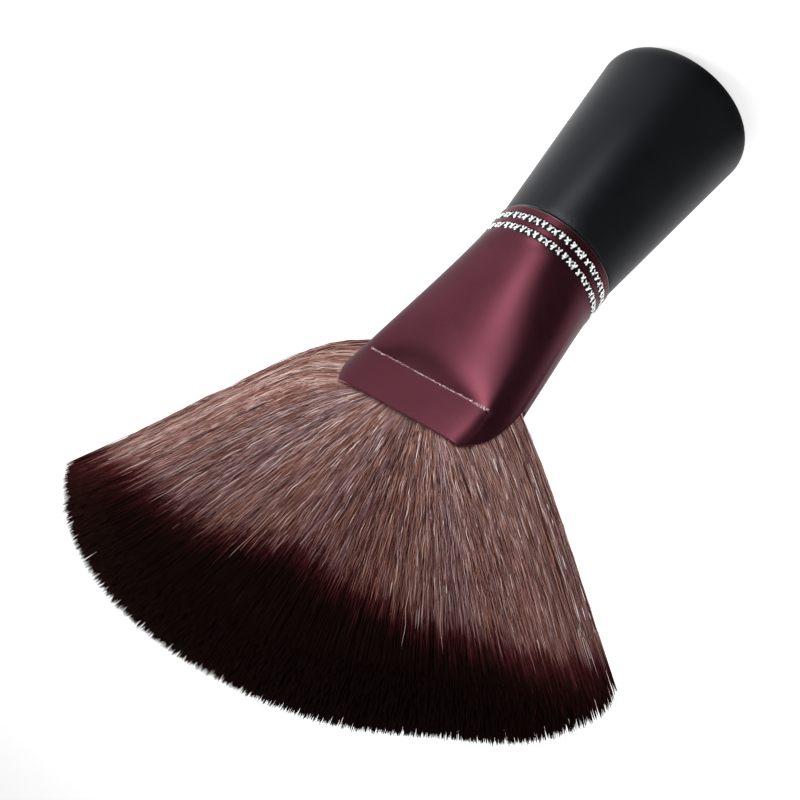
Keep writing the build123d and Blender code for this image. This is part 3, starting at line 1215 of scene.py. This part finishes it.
    def dye(self, across: Array, along: Array, jitter: Array) -> Array:
        """How much dye a place has taken, 0 to 1: a slow rise to the early dye, then the dip.

        The dip begins nearest the mouth in the middle of the fan and farthest from it at the
        corners, where it is also weaker, most at +X; close to -X it begins a little sooner than
        that.  Each filament begins a little earlier or later, by its jitter.
        """
        start = self.dip_start + 0.18 * (across - 0.08) ** 2 + 0.04 * across**4 + jitter
        start = start + 0.03 * np.clip(across, 0, 1) ** 4 - 0.03 * np.cos(2 * np.pi * across)
        start = start - 0.02 * np.clip(-across, 0, 1) ** 3
        rise = np.clip(along / start, 0, 1)
        dipped = np.clip((along - start) / self.dip_length, 0, 1)
        weaker = 0.08 * across**4 + 0.06 * np.clip(across, 0, 1) ** 2
        return self.early_dye * rise + (0.7 - weaker) * dipped

    def sow(self, sowing: Sowing, random: np.random.Generator) -> None:
        """Grow one layer of strands in clumps and make its pieces.

        A clump's strands start side by side and draw together towards the tip, and share a wave
        to which each adds its own.
        """
        clump_across, clump_through = sowing.clump_places()
        count, each, along = sowing.count, sowing.each, sowing.sections()
        t = np.clip(along, 0, 1)
        drift = random.normal(0, 1, (count, 1)) * sowing.spread * (1 - 0.4 * t**3)
        depth = random.normal(0, 1, (count, 1)) * 0.03 * (1 - 0.4 * t**2)
        loose = random.normal(0, 1, (count, 1)) ** 3 * 0.0025 * t
        across = np.clip(each(clump_across) + drift + loose, -self.edge_limit, self.edge_limit)
        through = np.clip(each(clump_through) + depth, -1.0, 1.0)
        shorter = each(random.normal(0, self.clump_unevenness, sowing.clumps))
        shorter = shorter + np.abs(random.normal(0, self.strand_unevenness, (count, 1)))
        lines = self.lines(across, through, shorter, along) + self.waves(sowing, random, t)
        taper = np.clip((1 - t) / self.taper_share, 0, 1) ** 0.6
        radii = self.strand_radius * (0.2 + 0.8 * taper) * random.uniform(0.8, 1.15, (count, 1))
        radii = radii * sowing.thickness
        tone = self.tones(sowing, random, across, through, t)
        hue = 0.45 + 0.2 * np.sin(9 * clump_across + 2) + 0.2 * np.sin(23 * clump_across)
        hue = each(hue + random.normal(0, 0.25, sowing.clumps))
        hue = hue + random.normal(0, 0.2, (count, 1))
        jitter = each(random.normal(0, 0.012, sowing.clumps))
        jitter = jitter + random.normal(0, 0.03, (count, 1))
        values = {"tone": tone, "hue": hue, "dye": self.dye(across, along, jitter)}
        for part in range(sowing.pieces):
            rows = slice(part * count // sowing.pieces, (part + 1) * count // sowing.pieces)
            name = f"bristles_{sowing.layer.value}_{part + 1}"
            self.strand_piece(name, lines, radii, values, rows)

    def strand_piece(
        self, name: str, lines: Array, radii: Array, values: dict[str, Array], rows: slice
    ) -> None:
        """Make one piece of these rows of the strands.

        Args:
            name: The piece's name.
            lines: Strands by sections by 3, the centre lines.
            radii: Their radii, strands by sections.
            values: What the finish reads, each by strand or by strand and section.
            rows: Which strands the piece has.
        """
        surface = Surface.strands(lines[rows], radii[rows])
        shape = lines[rows].shape[:2] + (3,)
        for key, value in values.items():
            surface.values[key] = np.broadcast_to(np.clip(value[rows], 0, 1)[..., None], shape)
        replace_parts(surface.piece(name, "filament", self.material), "bristles")

    def tones(
        self, sowing: Sowing, random: np.random.Generator, across: Array, through: Array, t: Array
    ) -> Array:
        """How pale each place of each strand is, 0 to 1.

        Clumps and strands differ.  The fan is darker in a broad band left of its middle, which is
        painted shade, and darker inside its outer skin, which is painted shade between the strands,
        and paler at the tips of its +X side.  Along a strand the tone changes by a sine 8 to 20 mm
        long, painted light and shade along the crimped strands, and a few strands have pale
        stretches, which are painted highlights.

        Args:
            sowing: The layer.
            random: Where the chances come from.
            across: Place across the fan, strands by sections.
            through: Place through the thickness, likewise.
            t: Sections, from 0 at the knee to 1 at the tip.

        Returns:
            Strands by sections.
        """
        tone = sowing.each(random.normal(0.49, 0.09, sowing.clumps))
        tone = tone + random.normal(0, 0.12, (sowing.count, 1))
        # painted shade: a broad darker band left of the fan's middle
        tone = tone - 0.22 * np.exp(-(((across + 0.3) / 0.5) ** 2))
        tone = tone + 0.12 * t * np.clip(across, 0, 1) ** 4
        outside = np.maximum(np.abs(through), np.abs(across) / self.edge_limit)
        phase = random.uniform(0, 2 * np.pi, (sowing.count, 1))
        change = np.sin(self.turns(t) / (random.uniform(8, 20, (sowing.count, 1)) * MM) + phase)
        pale = random.uniform(size=(sowing.count, 1)) < self.pale_share
        # painted light and shade along each strand; painted highlights on the pale stretches
        shading = 0.12 * change + 0.55 * pale * np.clip(change + 0.3, 0, 1)
        # painted shade: strands inside the outer skin are darker
        return tone + shading + 2.5 * np.clip(outside - 1, -0.1, 0)

    def turns(self, t: Array) -> Array:
        """2 pi times the distance along a strand of the usual length, which is in millimetres."""
        return 2 * np.pi * self.usual_length * MM * t

    def waves(self, sowing: Sowing, random: np.random.Generator, t: Array) -> Array:
        """The crimped waver of the strands: two sines across the fan and the weave through it.

        The clump's sine has a length of 6 to 10 mm, the strand's own 3.5 to 7 mm, and the weave
        9 to 22 mm.  All start at the knee and shrink in the outer part.

        Args:
            sowing: The layer.
            random: Where the chances come from.
            t: Sections, from 0 at the knee to 1 at the tip.

        Returns:
            What to add to the centre lines.
        """
        one_each = (sowing.count, 1)
        turns = self.turns(t)
        grown = step(t, 0.0, 0.12) * (1 - 0.7 * step(t, 0.6, 1.0))
        shared = turns / (sowing.each(random.uniform(6.0, 10.0, sowing.clumps)) * MM)
        shared = np.sin(shared + sowing.each(random.uniform(0, 2 * np.pi, sowing.clumps)))
        own = turns / (random.uniform(3.5, 7.0, one_each) * MM)
        own = np.sin(own + random.uniform(0, 2 * np.pi, one_each))
        weave = turns / (random.uniform(9.0, 22.0, one_each) * MM)
        weave = np.sin(weave + random.uniform(0, 2 * np.pi, one_each))
        size = self.wave_height * random.uniform(0.4, 1.4, one_each)
        x = grown * size * (0.8 * shared + 0.7 * own)
        return np.stack([x, grown * sowing.weave * weave, np.zeros_like(x)], axis=-1)

    def stray_hairs(self, random: np.random.Generator) -> None:
        """A few loose pale hairs that lie on the front and wander over their neighbours."""
        count = self.strays
        share = np.linspace(0, 1, 60)[None, :]
        first = random.uniform(0.1, 0.7, (count, 1))
        last = np.minimum(first + random.uniform(0.12, 0.4, (count, 1)), 1.01)
        along = first + (last - first) * share
        across = random.uniform(-0.85, 0.9, (count, 1))
        wander = np.sin(2 * np.pi * share * random.uniform(0.7, 2.2, (count, 1)) + across * 9)
        across = across + wander * random.uniform(0.002, 0.007, (count, 1))
        lines = self.lines(across, 0 * share - 1.01, 0 * share, along)
        lines[..., 1] -= self.stray_lift * np.sin(np.pi * share)
        zero = 0 * along
        radii = self.strand_radius * 0.5 * np.clip(8 * (1 - share), 0.25, 1) + zero
        values = {"tone": 0.72 + zero, "hue": 0.6 + zero, "dye": self.early_dye * share + zero}
        self.strand_piece("bristles_strays", lines, radii, values, slice(None))

    def core(self) -> None:
        """A closed dark body inside the strands, so that nothing shows through the fan; its dark
        tone is painted shade for the inside of the fan.

        Its rows are rounded rectangles of fixed places across and through, carried along the
        filaments' own lines and drawn in at the end.
        """
        angle = np.linspace(0, 2 * np.pi, 96, endpoint=False)
        cosine, sine = np.cos(angle), np.sin(angle)
        across = self.core_width * np.sign(cosine) * np.abs(cosine) ** 0.55
        through = self.core_thickness * np.sign(sine) * np.abs(sine) ** 0.7
        along = np.concatenate([[-0.9], np.linspace(0.02, 0.9, 28)])
        shrink = np.sqrt(1 - np.clip((along - 0.6) / 0.34, 0, 1) ** 2)[:, None]
        grid_across = across[None, :] * (0.75 + 0.25 * shrink)
        grid_through = through[None, :] * shrink
        zero = np.zeros_like(grid_across)
        place = np.broadcast_to(along[:, None], zero.shape)
        points = self.lines(grid_across, grid_through, zero, place)
        surface = Surface.grid(points, capped=True)
        # painted shade: the core takes almost the darkest tone
        surface.values["tone"] = zero + 0.05
        surface.values["hue"] = zero + 0.3
        surface.values["dye"] = self.dye(grid_across, place, zero)
        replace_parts(surface.piece("bristles_core", "filament", self.material), "bristles")

    def build(self) -> None:
        """Grow all the layers about the core, and lay the stray hairs on the front."""
        self.material = DippedFilament().material()
        random = np.random.default_rng(self.seed)
        self.core()
        for sowing in self.sowings:
            self.sow(sowing, random)
        self.stray_hairs(random)


# --- Studio


@dataclass
class LightTent:
    """A round tent about the brush, seen only in its gloss, with bright and dark cloths.

    Cloths are given by the angle round Z from the camera's side, positive towards the edge of
    the brush that is on the left in the photograph.
    """

    radius: float = 130.0 * MM
    ground_height: float = 0.6 * MM
    top_height: float = 600.0 * MM
    camera_azimuth: float = -118.5
    columns: int = 240
    ground_cloths: Cloths = (
        (-180, 0.60), (-128, 0.58), (-100, 0.56), (-80, 0.32), (-60, 0.06), (0, 0.03), (10, 0.08),
        (30, 0.28), (60, 0.52), (90, 0.58), (120, 0.80), (150, 0.80), (180, 0.60),
    )
    foot_cloths: Cloths = (
        (-180, 0.45), (-128, 0.60), (-85, 0.25), (-60, 0.05), (10, 0.10), (24, 0.60), (34, 6.00),
        (44, 3.80), (54, 0.80), (75, 0.66), (110, 0.60), (180, 0.45),
    )
    skirt_cloths: Cloths = (
        (-180, 0.35), (-128, 0.55), (-85, 0.24), (-60, 0.05), (0, 0.05), (22, 0.50), (34, 3.20),
        (44, 2.20), (54, 0.70), (75, 0.62), (110, 0.60), (180, 0.35),
    )
    low_cloths: Cloths = (
        (-180, 0.30), (-128, 0.50), (-85, 0.20), (-60, 0.04), (-4, 0.06), (4, 0.20), (13, 1.00),
        (20, 1.30), (34, 1.00), (46, 0.78), (62, 0.68), (80, 0.62), (110, 0.55), (180, 0.30),
    )
    wall_cloths: Cloths = (
        (-180, 0.30), (-128, 0.50), (-85, 0.20), (-60, 0.04), (8, 0.05), (16, 0.70), (22, 3.60),
        (29, 3.90), (36, 1.70), (44, 0.80), (58, 0.52), (70, 0.42), (85, 0.50), (110, 0.55),
        (180, 0.30),
    )
    high_cloths: Cloths = (
        (-180, 0.30), (-128, 0.40), (-80, 0.14), (-60, 0.04), (12, 0.10), (20, 2.00), (28, 3.60),
        (36, 1.60), (44, 0.50), (56, 0.18), (68, 0.08), (80, 0.20), (95, 0.40), (180, 0.30),
    )
    top_cloths: Cloths = (
        (-180, 0.30), (-80, 0.10), (10, 0.10), (20, 0.60), (30, 0.90), (42, 0.35), (56, 0.20),
        (75, 0.12), (95, 0.30), (180, 0.30),
    )

    def build(self) -> None:
        """Set up a disc just above the floor, a wall and a roof, as one grid of rings.

        Each ring has its share of the radius, its height and the cloths that hang there.
        """
        rings = (
            (0.03, self.ground_height, self.ground_cloths),
            (0.5, self.ground_height, self.ground_cloths),
            (0.94, self.ground_height, self.ground_cloths),
            (1.0, self.ground_height, self.foot_cloths),
            (1.0, 5 * MM, self.skirt_cloths),
            (1.0, 45 * MM, self.low_cloths),
            (1.0, 81 * MM, self.wall_cloths),
            (1.0, 105 * MM, self.high_cloths),
            (1.0, 140 * MM, self.top_cloths),
            (1.0, self.top_height, self.top_cloths),
            (0.5, self.top_height, self.top_cloths),
            (0.03, self.top_height, self.top_cloths),
        )
        radius = np.array([ring[0] for ring in rings])[:, None] * self.radius
        height = np.array([ring[1] for ring in rings])[:, None]
        turn = np.arange(self.columns) / self.columns * 2 * np.pi
        surface = Surface.grid(turned(radius, height, turn))
        offset = (np.degrees(turn) - self.camera_azimuth + 180) % 360 - 180
        glow = [np.interp(offset, *np.array(ring[2]).T) for ring in rings]
        surface.values["glow"] = np.stack(glow)
        tent = surface.prop("light_tent", TentCloth().material())
        tent.visible_camera = False
        tent.visible_diffuse = False
        tent.visible_transmission = False
        tent.visible_shadow = False


@dataclass
class Studio:
    """White floor, white surroundings, soft lamps and the camera at the photograph's angle."""

    camera_place: tuple[float, float, float] = (-200.0 * MM, -379.3 * MM, 285.1 * MM)
    aim: tuple[float, float, float] = (5.7 * MM, 0.0, 102.2 * MM)
    roll: float = -139.43
    lens: float = 99.0
    floor_size: float = 4.0
    world_strength: float = 0.55
    lamp_gloss: float = 0.0

    def build(self) -> None:
        """Set the floor, the tent, the world, the lamps and the camera."""
        self._floor()
        LightTent().build()
        self._world()
        self._lamp("key", azimuth=-10.0, elevation=25.0, distance=0.9, size=0.5, power=19.0)
        self._lamp("fill", azimuth=-172.0, elevation=30.0, distance=1.1, size=0.9, power=11.0)
        self._lamp("back", azimuth=90.0, elevation=50.0, distance=1.0, size=0.9, power=8.0)
        self._camera()
        bpy.context.scene.view_settings.view_transform = "Standard"

    def _floor(self) -> None:
        """A flat white sheet under the brush."""
        half = self.floor_size / 2
        mesh = bpy.data.meshes.new("floor")
        corners = [(-half, -half, 0), (half, -half, 0), (half, half, 0), (-half, half, 0)]
        mesh.from_pydata(corners, [], [(0, 1, 2, 3)])
        mesh.materials.append(PaleFloor().material())
        floor = linked("floor", mesh)

    def _world(self) -> None:
        """Plain white to every ray that shows it, and a soft even light to the rest."""
        world = bpy.data.worlds.new("white_room")
        world.use_nodes = True
        bpy.context.scene.world = world
        sheet = Sheet(world)
        seen = seen_ray(sheet)
        strength = seen + (1 - seen) * self.world_strength
        inputs = {"Color": paint(255, 255, 255), "Strength": strength}
        sheet.show(sheet.node("ShaderNodeBackground", None, inputs, "Background"))

    def _lamp(
        self, name: str, azimuth: float, elevation: float, distance: float, size: float, power: float
    ) -> None:
        """A square soft lamp that looks at the middle of the brush.

        Args:
            name: The lamp's name.
            azimuth: Degrees round Z from +X.
            elevation: Degrees above the floor.
            distance: From the middle of the brush.
            size: Its side.
            power: Watts.
        """
        light = bpy.data.lights.new(name, "AREA")
        light.size = size
        light.energy = power
        light.specular_factor = self.lamp_gloss
        lamp = linked(name, light)
        turn, rise = np.radians(azimuth), np.radians(elevation)
        away = Vector((np.cos(turn) * np.cos(rise), np.sin(turn) * np.cos(rise), np.sin(rise)))
        middle = (CAD_BOX[0] + CAD_BOX[1]) / 2
        lamp.location = middle + away * distance
        lamp.rotation_euler = away.to_track_quat("Z", "Y").to_euler()

    def _camera(self) -> None:
        """A long lens that looks down on the brush, rolled so that the handle is at the top."""
        camera = linked("camera", bpy.data.cameras.new("camera"))
        camera.data.lens = self.lens
        camera.data.sensor_width = 36.0
        camera.data.clip_start = 0.01
        forward = (Vector(self.aim) - Vector(self.camera_place)).normalized()
        level_right = forward.cross(Vector((0, 0, 1))).normalized()
        level_up = level_right.cross(forward)
        turn = np.radians(self.roll)
        right = level_right * np.cos(turn) + level_up * np.sin(turn)
        up = right.cross(forward)
        pose = Matrix((right, up, -forward)).transposed().to_4x4()
        pose.translation = Vector(self.camera_place)
        camera.matrix_world = pose
        bpy.context.scene.camera = camera


def dress_root_plug() -> None:
    """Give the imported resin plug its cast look; its shape stays as it is."""
    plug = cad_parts["root_plug"]
    resin = CastResin().material()
    for place in plug.material_slots:
        place.material = resin


def main() -> None:
    """Build every piece in order, then the studio, and note the sizes."""
    logging.basicConfig(level=logging.INFO, format="%(name)s: %(message)s")
    Handle().build()
    ferrule = Ferrule()
    ferrule.build()
    bright = BrightCut().material()
    bands = ("cut_band_lower", "cut_band_upper")
    for name, above_rim in zip(bands, ferrule.band_centres, strict=True):
        CutBand(name, above_rim).build(bright)
    # the crimp line: pale bare metal, partly a painted highlight, with darker mauve facets
    worn_and_glinting = BrightCut(
        bright=paint(226, 206, 208), dull=paint(180, 150, 156), hollow=paint(84, 40, 50)
    ).material()
    CrimpLine("crimp_line_front", -1).build(worn_and_glinting)
    CrimpLine("crimp_line_back", 1).build(worn_and_glinting)
    dress_root_plug()
    BristleFan().build()
    Studio().build()
    bpy.context.view_layer.update()


if __name__ == "__main__":
    main()
